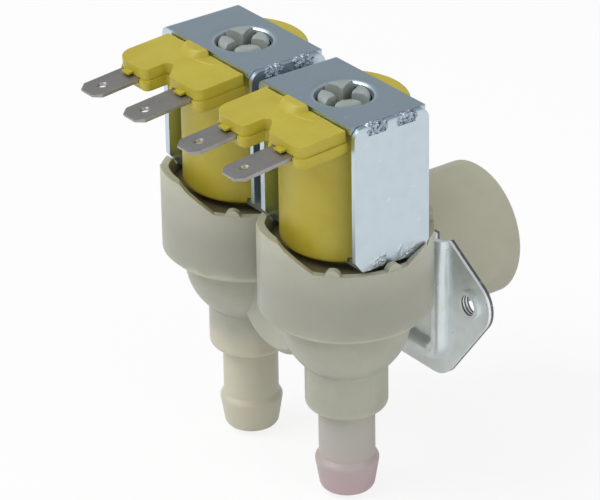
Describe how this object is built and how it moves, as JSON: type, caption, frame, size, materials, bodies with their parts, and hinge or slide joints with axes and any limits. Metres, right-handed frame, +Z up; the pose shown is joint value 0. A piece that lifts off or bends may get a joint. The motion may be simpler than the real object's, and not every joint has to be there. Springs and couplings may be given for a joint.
{
  "type": "double solenoid valve",
  "caption": "Water inlet valve with two solenoid coils in steel yokes, a moulded body with two hose outlets, a capped inlet and a sheet-metal mounting bracket.",
  "frame": {"origin": "middle between the two bracket screw holes, on the bracket's mounting face, which is also on the inlet's axis", "axes": "+Y out of the inlet, away from the coils; +Z up along the valve axes towards the coils' tops; +X along the line of the screw holes"},
  "size_m": [0.0652, 0.0767, 0.0847],
  "materials": {
    "body_nylon": "satin moulded nylon, natural cream",
    "inlet_cap": "soft matte cap",
    "zinc_sheet": "bright zinc-plated steel sheet",
    "coil_yellow": "satin moulded plastic, yellow",
    "tinned_steel": "dull tin-plated blade",
    "bobbin_white": "white moulded plastic",
    "copper_wire": "enamelled copper winding",
    "plain_steel": "plain steel",
    "black_rubber": "black rubber",
    "white_plastic": "white moulded plastic"
  },
  "bodies": {
    "housing": {"valve_body": "body_nylon", "bracket": "zinc_sheet", "inlet_cap": "inlet_cap", "inlet_strainer": "white_plastic", "flow_holder": "white_plastic", "flow_ring": "black_rubber", "yoke_left": "zinc_sheet", "yoke_right": "zinc_sheet", "coil_left": "coil_yellow", "coil_right": "coil_yellow", "bobbin_left": "bobbin_white", "bobbin_right": "bobbin_white", "winding_left": "copper_wire", "winding_right": "copper_wire", "blade_left_outer": "tinned_steel", "blade_left_inner": "tinned_steel", "blade_right_inner": "tinned_steel", "blade_right_outer": "tinned_steel", "sleeve_upper_left": "plain_steel", "sleeve_upper_right": "plain_steel", "sleeve_lower_left": "plain_steel", "sleeve_lower_right": "plain_steel", "guide_tube_left": "body_nylon", "guide_tube_right": "body_nylon", "spring_left": "plain_steel", "spring_right": "plain_steel", "diaphragm_left": "black_rubber", "diaphragm_right": "black_rubber"},
    "plunger_body_left": {"plunger_left": "plain_steel", "plunger_seal_left": "black_rubber"},
    "disc_body_left": {"disc_left": "white_plastic"},
    "plunger_body_right": {"plunger_right": "plain_steel", "plunger_seal_right": "black_rubber"},
    "disc_body_right": {"disc_right": "white_plastic"}
  },
  "joints": [
    {"name": "plunger_left_slide", "type": "slide", "parent": "housing", "child": "plunger_body_left", "axis": [0, 0, 1], "range_m": [0, 0.0038], "stiffness_N_per_m": 80, "springref_m": -0.02, "deforming": ["spring_left"]},
    {"name": "plunger_right_slide", "type": "slide", "parent": "housing", "child": "plunger_body_right", "axis": [0, 0, 1], "range_m": [0, 0.0038], "stiffness_N_per_m": 80, "springref_m": -0.02, "deforming": ["spring_right"]},
    {"name": "disc_left_lift", "type": "slide", "parent": "housing", "child": "disc_body_left", "axis": [0, 0, 1], "range_m": [0, 0.00266], "deforming": ["diaphragm_left"]},
    {"name": "disc_right_lift", "type": "slide", "parent": "housing", "child": "disc_body_right", "axis": [0, 0, 1], "range_m": [0, 0.00266], "deforming": ["diaphragm_right"]}
  ],
  "couplings": [
    {"joint": "disc_left_lift", "follows": "plunger_left_slide", "ratio": 0.7},
    {"joint": "disc_right_lift", "follows": "plunger_right_slide", "ratio": 0.7}
  ]
}
